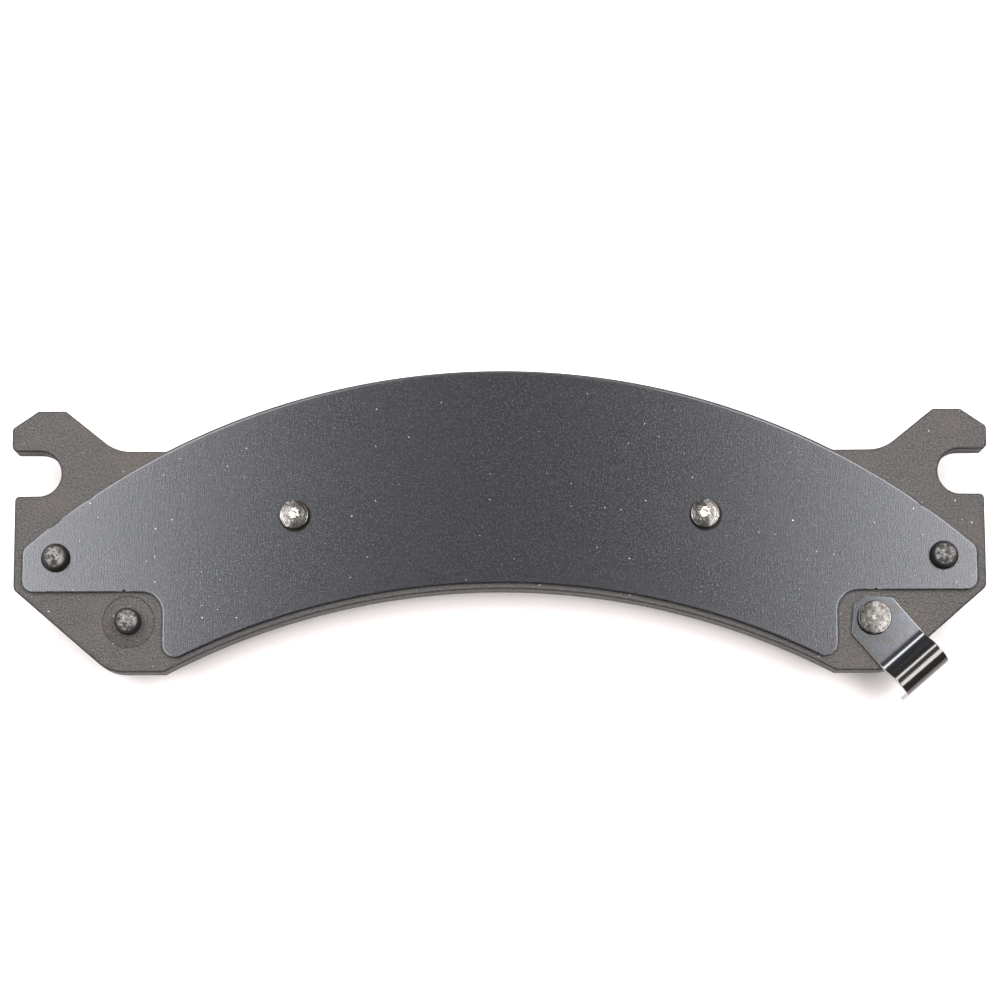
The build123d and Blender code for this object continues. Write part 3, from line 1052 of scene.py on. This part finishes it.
@dataclass
class Lining:
    """The friction block and its underlayer, one outline moulded in two layers."""

    outer_radius: float = 148.6
    inner_radius: float = 153.4
    half_length: float = 82.0
    foot_y: float = -38.2
    slot_half: float = 1.5
    slot_depth: float = 7.0
    chamfer_from: float = 70.0
    chamfer_slope: float = 1 / 3
    pit_depth: float = 0.14
    foot_rounding: float = 0.25

    def outline(self) -> Array:
        """The lining's outline, with points at the slot's two walls.

        Returns:
            Its points, n by 2, anticlockwise.
        """
        foot_x = math.sqrt(self.inner_radius**2 - (self.foot_y - INNER_CENTRE_Y) ** 2)
        wall = np.array([self.slot_half - 0.02, self.slot_half + 0.02])
        top_x = np.concatenate([[0], wall, np.linspace(2.5, self.half_length - 2.5, 59), [self.half_length]])
        low_x = np.concatenate([[foot_x], np.linspace(foot_x - 1.5, 2.5, 59), wall[::-1], [0]])
        top = np.stack([top_x, OUTER_CENTRE_Y + np.sqrt(self.outer_radius**2 - top_x**2)], axis=1)
        low = np.stack([low_x, INNER_CENTRE_Y + np.sqrt(self.inner_radius**2 - low_x**2)], axis=1)
        corners = np.concatenate([top, [(self.half_length, self.foot_y)], low])
        radii = np.concatenate([np.zeros(62), [3.0, 3.0, 0.8], np.zeros(62)])
        return resampled(symmetric_outline(corners, radii), 0.7)

    def low_side(self, points: Array) -> Array:
        """Height of the block's disc side: 0, rising over the end chamfers, and up inside the slot.

        Args:
            points: Places, n by 2.

        Returns:
            n heights.
        """
        x = np.abs(points[:, 0])
        ramp = np.maximum(0, x - self.chamfer_from) * self.chamfer_slope
        return np.where(x < self.slot_half, self.slot_depth, ramp)

    def pitted(self, points: Array) -> Array:
        """Height of the ground face: the low side plus pits, which only go into the block.

        Args:
            points: Places, n by 2.

        Returns:
            n heights.
        """
        spot = np.column_stack([points, np.zeros(len(points))])
        pits = np.maximum(0, lattice_noise(spot, 1.7, 5) - 0.25) * self.pit_depth
        grit = np.abs(lattice_noise(spot, 0.9, 6)) * 0.03
        return self.low_side(points) + pits + grit

    def wall(self, outline: Array, low: Array, high: float, rows: int, seed: int) -> Array:
        """A moulded wall between two heights, roughened inwards by value noise.

        P(i, k) = outline i - (edge rounding k + roughness) * normal i, z from low i to high.

        Args:
            outline: The wall's outline, anticlockwise.
            low: Height of the wall's foot at each point.
            high: Height of its top.
            rows: Rows of points above the rounded foot.
            seed: Which noise.

        Returns:
            The wall's points, outline by rows by 3.
        """
        share = np.concatenate([[0, 0.02, 0.06], np.linspace(0.12, 1, rows)])
        rounding = np.concatenate([[self.foot_rounding, 0.08, 0.02], np.zeros(rows)])
        normal = outward(outline)
        z = low[:, None] + (high - low[:, None]) * share[None, :]
        flat = np.repeat(outline[:, None, :], len(share), axis=1)
        spot = np.concatenate([flat, z[..., None]], axis=2).reshape(-1, 3)
        rough = np.abs(lattice_noise(spot, 1.3, seed)).reshape(z.shape) * 0.09
        depth = rounding[None, :] + rough * (share[None, :] < 1)
        flat = flat - normal[:, None, :] * depth[..., None]
        return np.concatenate([flat, z[..., None]], axis=2)

    def build_block(self) -> bpy.types.Object:
        """Makes the friction block.

        Returns:
            The piece.
        """
        shell = Shell()
        outline = self.outline()
        foot = outline - outward(outline) * self.foot_rounding
        walls = self.wall(outline, self.low_side(foot), LEVELS.lining, 9, 11)
        walls[:, 0, :2] = foot
        walls[:, 0, 2] = self.pitted(foot)
        shell.grid(walls, round_u=True)
        shell.cap([foot], self.pitted, 1.0)
        shell.cap([outline], lambda p: np.full(len(p), LEVELS.lining), 6.0)
        return shell.made("friction_block_ground", 50)

    def build_underlayer(self, key: tuple[float, float], key_radius: float,
                         key_top: float) -> bpy.types.Object:
        """Makes the underlayer with the key that fills the corner nib's pocket.

        Args:
            key: The key's centre.
            key_radius: Its radius.
            key_top: The height of its end.

        Returns:
            The piece.
        """
        shell = Shell()
        outline = self.outline()
        walls = self.wall(outline, np.full(len(outline), LEVELS.lining), LEVELS.underlayer, 4, 12)
        walls[:, 0, :2] = outline
        shell.grid(walls, round_u=True)
        shell.cap([outline], lambda p: np.full(len(p), LEVELS.lining), 6.0)
        shell.lathe(key, np.array([(key_radius, LEVELS.underlayer), (key_radius, key_top), (0, key_top)]))
        shell.cap([outline, circle(key, key_radius)], lambda p: np.full(len(p), LEVELS.underlayer), 6.0)
        return shell.made("underlayer_moulded", 50)


@dataclass
class ShimCoat:
    """The shim's outer rubber skin, die-cut, with two chipped spots on its long edge."""

    outer_radius: float = 151.1
    inner_radius: float = 151.4
    half_length: float = 99.3
    low_y: float = -25.0
    tab_x: float = 70.0
    nick_x: float = 78.0
    nick_radius: float = 0.35
    nib_hole: float = 3.05
    # The holes round the shim rivets are widened and moved to the lower right, so a dark crescent shows
    # beside each head: partly real clearance, partly painted shadow.
    rivet_gap: float = 0.3
    shadow_crescent_shift: tuple[float, float] = (0.17, -0.23)
    wave_height: float = 0.012
    chips: tuple[tuple[float, float, float], ...] = ((-92.6, 1.3, 0.3), (88.0, 1.6, 0.2), (-85.5, 0.9, 0.16))
    rag: float = 0.05
    edge_inset: float = 0.06
    edge_drop: float = 0.04
    margin: float = 0.35

    def outline(self) -> Array:
        """The skin's outline, with its die nicks and with chips bitten out of the long edge.

        Returns:
            Its points, n by 2, anticlockwise.
        """
        top = edge_arc(OUTER_CENTRE_Y, self.outer_radius, self.half_length, 2.5, 90)
        nick = arc((self.nick_x, self.low_y), self.nick_radius, 0, 180, 9)
        low = edge_arc(INNER_CENTRE_Y, self.inner_radius, self.tab_x, 5.2)[::-1]
        end, tab = [(self.half_length, self.low_y)], [(self.tab_x, self.low_y)]
        corners = np.concatenate([top, end, nick, tab, low])
        radii = np.concatenate([np.zeros(89), [2.0, 2.5], np.zeros(9), [4.2, 2.8], np.zeros(59)])
        loop = resampled(symmetric_outline(corners, radii), 0.35)
        on_arc = np.hypot(loop[:, 0], loop[:, 1] - OUTER_CENTRE_Y) > self.outer_radius - 0.05
        bite = np.zeros(len(loop))
        for x, reach, depth in self.chips:
            near = np.clip(1 - ((loop[:, 0] - x) / reach) ** 2, 0, 1)
            ragged = 0.7 + 0.3 * np.sin(loop[:, 0] * 9.0 + x)
            bite = np.maximum(bite, depth * np.sqrt(near) * ragged)
        torn = np.maximum(0, lattice_noise(np.column_stack([loop, loop[:, 0]]), 0.9, 41)) * self.rag
        return loop - outward(loop) * (bite * on_arc + torn)[:, None]

    def waves(self, points: Array) -> Array:
        """Height of the rolled face: z = face - height * (1 + noise) / 2, so it only dips.

        Args:
            points: Places, n by 2.

        Returns:
            n heights.
        """
        spot = np.column_stack([points * [1.0, 0.35], np.zeros(len(points))])
        return LEVELS.face - self.wave_height * (1 + lattice_noise(spot, 14.0, 21)) / 2

    def build(self, nibs: list[tuple[float, float]], seats: list[RivetSeat]) -> bpy.types.Object:
        """Makes the skin's mesh.

        Args:
            nibs: Centres of the end nibs' holes.
            seats: The rivets whose heads it surrounds.

        Returns:
            The piece.
        """
        shell = Shell()
        outline = self.outline()
        rounded_edge, margin = inset(outline, self.edge_inset), inset(outline, self.margin)
        x, y = self.shadow_crescent_shift
        holes = [circle(c, self.nib_hole) for c in nibs]
        holes += [circle((s.centre[0] + x, s.centre[1] + y), s.head / 2 + self.rivet_gap) for s in seats]
        wall = np.stack([
            np.column_stack([outline, np.full(len(outline), LEVELS.coat)]),
            np.column_stack([outline, self.waves(outline) - self.edge_drop]),
            np.column_stack([rounded_edge, self.waves(rounded_edge)]),
            np.column_stack([margin, self.waves(margin)]),
        ], axis=1)
        shell.grid(wall, round_u=True)
        for hole in holes:
            low, high = np.full(len(hole), LEVELS.coat), self.waves(hole)
            rows = [np.column_stack([hole, z]) for z in (low, high)]
            shell.grid(np.stack(rows, axis=1), round_u=True)
        shell.cap([margin, *holes], self.waves, 2.0)
        shell.cap([outline, *holes], lambda p: np.full(len(p), LEVELS.coat), 4.0)
        return shell.made("shim_coat_rolled")


@dataclass
class Rivets:
    """The two shim rivets and the wear indicator's rivet."""

    shim_place: tuple[float, float] = (42.8, -9.0)
    indicator_place: tuple[float, float] = (77.6, -30.9)
    strap_thickness: float = 0.9
    dent: float = 0.014
    corner: float = 0.22
    crown: float = 0.12

    def seats(self) -> list[RivetSeat]:
        """Every rivet's sizes.

        Returns:
            The two shim rivets, left and right, and the indicator's.
        """
        x, y = self.shim_place
        shim = [
            RivetSeat(f"shim_rivet_{side.name.lower()}", (side.value * x, y), shank=4.4, cone=7.2,
                      seat=LEVELS.coat, head=6.1, rise=1.3)
            for side in Side
        ]
        strap = RivetSeat("indicator_rivet", self.indicator_place, shank=5.0, cone=7.4,
                          seat=LEVELS.back + self.strap_thickness, head=7.0, rise=1.3)
        return [*shim, strap]

    def head_profile(self, seat: RivetSeat) -> Array:
        """Radius and height from the flush cone up the shank and over the formed head.

        The head is a rounded rim under a shallow dome: z = top - drop * (r / rim)^2.

        Args:
            seat: The rivet's sizes.

        Returns:
            Rows of (r, z) from pole to pole.
        """
        r, z, rise = seat.head / 2, seat.seat, seat.rise
        corner, crown = self.corner, self.crown
        rim_z = z + rise - crown - corner
        turn = np.radians(np.linspace(-70, 84, 10))
        rim = np.stack([r - corner + corner * np.cos(turn), rim_z + corner * np.sin(turn)], axis=1)
        dome_r = np.linspace(rim[-1, 0], 0, 26)[1:]
        dome = np.stack([dome_r, z + rise - (z + rise - rim[-1, 1]) * (dome_r / rim[-1, 0]) ** 2], axis=1)
        stem = np.array([(0, LEVELS.front), (seat.cone / 2, LEVELS.front),
                         (seat.shank / 2, LEVELS.front + seat.cone_depth), (seat.shank / 2, z),
                         (r - 0.15, z)])
        return np.concatenate([stem, rim, dome])

    def build(self) -> list[bpy.types.Object]:
        """Makes the three rivets, each a turned profile whose head the punch left slightly dented.

        Returns:
            The pieces, in the order of the seats.
        """
        pieces = []
        for number, seat in enumerate(self.seats()):
            profile = self.head_profile(seat)
            ring = circle((0.0, 0.0), 1.0, 96)
            x = seat.centre[0] + ring[:, :1] * profile[None, :, 0]
            y = seat.centre[1] + ring[:, 1:] * profile[None, :, 0]
            z = np.repeat(profile[None, :, 1], len(ring), axis=0)
            spot = np.stack([x, y, z], axis=2).reshape(-1, 3)
            dent = lattice_noise(spot, 1.4, 31 + number) + 0.4 * lattice_noise(spot, 0.5, 61 + number)
            share = np.clip((profile[:, 1] - seat.seat - 0.7 * seat.rise) / (0.15 * seat.rise), 0, 1)
            z = z - self.dent * (1.4 + dent.reshape(z.shape)) * share[None, :]
            shell = Shell()
            shell.grid(np.stack([x, y, z], axis=2), round_u=True)
            pieces.append(shell.made(seat.node + "_formed"))
        return pieces


@dataclass
class WearIndicator:
    """The spring strap, a rounded strip carried along its bent middle line."""

    place: tuple[float, float] = (77.6, -30.9)
    angle: float = -49.5
    width: float = 11.35
    thickness: float = 0.9
    end_u: float = -4.95
    end_chamfer: float = 4.3
    lift_u: float = 8.0
    lift_radius: float = 3.45
    lift_angle: float = 45.0
    rise: float = 1.82
    crest_radius: float = 2.65
    leg_splay: float = 2.0
    tip_drop: float = 8.3
    tip_corner: float = 0.5
    edge: float = 0.12
    edge_steps: int = 6
    ease: float = 0.5
    blend_before: float = 2.0
    blend_after: float = 2.5

    def path(self) -> tuple[Array, Array, Array]:
        """The middle line: direction = sum of curvature along it, place = sum of direction.

        Curvature is 0 on the flat, 1/lift_radius, 0 on the rise, -1/crest_radius, 0 on the leg,
        averaged over a short ease length as a rolled spring bend is.

        Returns:
            Length along the line, place (u, z) and direction angle, one row per station.
        """
        flat, lift = self.lift_u - self.end_u, self.lift_radius * math.radians(self.lift_angle)
        turn = math.radians(self.lift_angle + 90 - self.leg_splay)
        crest = self.crest_radius * turn
        bends = self.lift_radius + self.crest_radius
        top = self.thickness / 2 + bends * (1 - math.cos(math.radians(self.lift_angle)))
        top += self.rise * math.sin(math.radians(self.lift_angle))
        drop = top - self.crest_radius * (1 - math.sin(math.radians(self.leg_splay))) + self.tip_drop
        leg = drop / math.cos(math.radians(self.leg_splay))
        total = flat + lift + self.rise + crest + leg
        step = 0.01
        s = np.arange(0, total + step / 2, step)
        ends = np.cumsum([flat, lift, self.rise, crest])
        bend = np.select([s < ends[0], s < ends[1], s < ends[2], s < ends[3]],
                         [0, 1 / self.lift_radius, 0, -1 / self.crest_radius], 0.0)
        window = np.ones(int(self.ease / step)) / int(self.ease / step)
        bend = np.convolve(bend, window, mode="same")
        heading = np.cumsum(bend) * step
        u = self.end_u + np.cumsum(np.cos(heading)) * step
        z = self.thickness / 2 + np.cumsum(np.sin(heading)) * step
        near_root = [0.03, 0.08, 0.14, self.end_chamfer]
        near_tip = [total - 0.03, total - 0.1, total - 0.2, total - 0.35]
        stations = np.union1d(np.linspace(0, total - step, 110), near_root + near_tip)
        place = np.stack([np.interp(stations, s, u), np.interp(stations, s, z)], axis=1)
        return stations, place, np.interp(stations, s, heading)

    def build(self) -> bpy.types.Object:
        """Makes the strip: its section's edges are rounded, and it narrows to the cut root and tip.

        P(s, t) = middle line at s + v(s, t) across the strip + w(s, t) along its normal.

        Returns:
            The piece.
        """
        s, place, heading = self.path()
        to_root, to_tip = s, s[-1] - s
        half = np.minimum(self.width / 2, self.width / 2 - self.end_chamfer + to_root)
        short = np.clip(self.tip_corner - to_tip, 0, None)
        half = half - (self.tip_corner - np.sqrt(self.tip_corner**2 - short**2))
        near_end = np.clip(self.edge - np.minimum(to_root, to_tip), 0, None)
        round_off = np.sqrt(self.edge**2 - near_end**2)
        turn = np.linspace(90, 0, self.edge_steps)
        corner = np.radians(np.concatenate([turn, turn - 90]))
        across = np.concatenate([[-1], np.linspace(-0.985, 0.985, 15), [1]])
        flat, both = len(across), len(corner)
        level, none = np.ones(flat), np.zeros(flat)
        upper_half = np.repeat([1.0, -1.0], self.edge_steps)
        side = np.concatenate([across, np.ones(both), -across, -np.ones(both)])
        upper = np.concatenate([level, upper_half, -level, -upper_half])
        bulge_v = np.concatenate([none, np.cos(corner), none, -np.cos(corner)])
        bulge_w = np.concatenate([level, np.sin(corner), -level, -np.sin(corner)])
        v = (half - self.edge)[:, None] * side[None, :] + round_off[:, None] * bulge_v[None, :]
        w = (self.thickness / 2 - self.edge) * upper[None, :] + round_off[:, None] * bulge_w[None, :]
        w = np.broadcast_to(w, v.shape)
        u = place[:, :1] - np.sin(heading)[:, None] * w
        z = LEVELS.back + place[:, 1:] + np.cos(heading)[:, None] * w
        a = math.radians(self.angle)
        x = self.place[0] + u * math.cos(a) - v * math.sin(a)
        y = self.place[1] + u * math.sin(a) + v * math.cos(a)
        points = np.stack([x, y, z], axis=2)
        evened = v * (self.width / 2) / half[:, None]
        chart = np.stack([np.broadcast_to(s[:, None], v.shape), evened], axis=2)
        shell = Shell()
        shell.grid(points, round_v=True, chart=chart)
        for end in (0, -1):
            top, bottom = points[end, :flat], points[end, flat + both:2 * flat + both][::-1]
            sheet = chart[end, :flat]
            shell.grid(np.stack([top, bottom], axis=1), chart=np.stack([sheet, sheet], axis=1))
        return shell.made("wear_indicator_strap", 40)


# ---------------------------------------------------------------- the studio


@dataclass
class Studio:
    """A pale floor, soft boxes left and right of the pad, and the camera over its back."""

    sight: tuple[float, float] = (0.4, -6.15)
    distance: float = 640.0
    tilt: float = 8.5
    roll: float = 0.19
    lens: float = 110.07
    side_at: tuple[float, float, float] = (0.414, 0.24, 0.93)
    side_size: tuple[float, float] = (0.42, 1.2)
    side_power: float = 19.6
    room: str = "#f2f3f5"
    room_strength: float = 0.22
    floor_half: float = 3000.0
    floor_z: float = -0.2

    def floor(self) -> None:
        """A plain sheet of pale paper under the pad."""
        shell = Shell()
        side = np.linspace(-self.floor_half, self.floor_half, 13)
        gx, gy = np.meshgrid(side, side, indexing="ij")
        shell.grid(np.stack([gx, gy, np.full_like(gx, self.floor_z)], axis=2))
        floor = shell.made("floor")
        paper = ThinLayer("paper_matte", "#fbf4f3", "#f9f2f1", roughness=0.9, cloud_mm=40.0)
        floor.data.materials.append(paper.make())

    def soft_box(self, name: str, at: tuple[float, float, float], size: tuple[float, float],
                 power: float) -> None:
        """One rectangular lamp that faces the pad.

        Args:
            name: The lamp's name.
            at: Its place in metres.
            size: Its two sides in metres.
            power: Its power in watts.
        """
        lamp = bpy.data.lights.new(name, "AREA")
        lamp.shape = "RECTANGLE"
        lamp.size, lamp.size_y = size
        lamp.energy = power
        holder = bpy.data.objects.new(name, lamp)
        away = Vector(at).normalized()
        across = Vector((0, 1, 0)).cross(away).normalized()
        turn = Matrix((across, away.cross(across), away)).transposed()
        holder.matrix_world = Matrix.Translation(at) @ turn.to_4x4()
        bpy.context.scene.collection.objects.link(holder)

    def lights(self) -> None:
        """Soft boxes left and right with a dark gap between them, in a pale room."""
        x, y, z = self.side_at
        for side in Side:
            name, at = f"side_box_{side.name.lower()}", (side.value * x, y, z)
            self.soft_box(name, at, self.side_size, self.side_power)
        world = bpy.data.worlds.new("room")
        world.use_nodes = True
        tree = world.node_tree
        tree.nodes.clear()
        room = add(tree, "Background", {"Color": tone(self.room), "Strength": self.room_strength})
        add(tree, "OutputWorld", {"Surface": room})
        bpy.context.scene.world = world
        bpy.context.scene.view_settings.view_transform = "Standard"

    def camera(self) -> None:
        """The camera over the pad, leaning to the side of the wheel's centre."""
        data = bpy.data.cameras.new("camera")
        data.sensor_width, data.lens = 36.0, self.lens
        data.clip_start, data.clip_end = 0.01, 20.0
        camera = bpy.data.objects.new("camera", data)
        tilt = math.radians(self.tilt)
        back = Vector((0, -math.sin(tilt), math.cos(tilt)))
        target = Vector((self.sight[0], self.sight[1], LEVELS.back))
        place = Matrix.Translation((target + back * self.distance) * MM)
        turn = Matrix.Rotation(tilt, 4, "X") @ Matrix.Rotation(math.radians(-self.roll), 4, "Z")
        camera.matrix_world = place @ turn
        bpy.context.scene.collection.objects.link(camera)
        bpy.context.scene.camera = camera


def dress_frame() -> None:
    """Gives the CAD nodes that stay in view their finishes, by name; the shim's steel core gets a near-black
    tone, painted shade.
    """
    finishes = {
        "bonding_film": ThinLayer("phenolic_film_cured", "#5a3a26", "#3c2619", 0.0, 0.4, 0.8),
        "shim_adhesive": ThinLayer("acrylic_adhesive_film", "#4a443b", "#352f28", 0.0, 0.45, 0.8),
        "shim_inner_rubber": ThinLayer("nitrile_rubber_smooth", "#232326", "#19191b", 0.0, 0.5, 0.6),
        # near-black steel core: painted shadow where it shows in the widened holes round the shim rivets
        "shim_steel_core": ThinLayer("steel_sheet_shade_dark", "#2a2827", "#171615", 1.0, 0.35, 0.5),
    }
    for name, finish in finishes.items():
        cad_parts[name].data.materials[0] = finish.make()
        log.info("%s dressed with %s", name, finish.name)


def main() -> None:
    """Builds the pad's pieces in order, then the studio."""
    logging.basicConfig(level=logging.INFO, format="%(name)s: %(message)s")
    studio = Studio()
    studio.camera()
    rivets = Rivets()
    seats = rivets.seats()
    plate = BackingPlate()
    placed(plate.build(seats), Slot.PLATE, PowderCoat().make(), "backing_plate")
    lining = Lining()
    placed(lining.build_block(), Slot.LINING, Compound().make(), "friction_block")
    soft = Compound("underlayer_compound_moulded", "#2e2a27", "#423c37", "#6f675c", 0.5, 0.08, 0.8)
    key_top = LEVELS.front + plate.pocket_depth
    underlayer = lining.build_underlayer(plate.corner_nib, plate.pocket_radius, key_top)
    placed(underlayer, Slot.UNDERLAYER, soft.make(), "underlayer")
    nib_x, nib_y = plate.end_nib
    coat = ShimCoat().build([(side.value * nib_x, nib_y) for side in Side], seats[:2])
    placed(coat, Slot.COAT, RubberCoat().make(), "shim_outer_rubber")
    finishes = [
        FormedSteel(f"steel_orbital_formed_{side.name.lower()}", seat.centre)
        for side, seat in zip(Side, seats)
    ]
    finishes.append(FormedSteel("steel_orbital_formed_plain", seats[2].centre, base="#565452",
                                dark="#3b3634", torn="#8a8680", torn_radius=1.3))
    for seat, piece, finish in zip(seats, rivets.build(), finishes):
        placed(piece, Slot.RIVET, finish.make(), seat.node)
    indicator = WearIndicator()
    strap = indicator.build()
    strap.data.materials.append(BluedSteel().make())
    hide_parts("wear_indicator")
    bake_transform(strap)
    dress_frame()
    studio.floor()
    studio.lights()


if __name__ == "__main__":
    main()
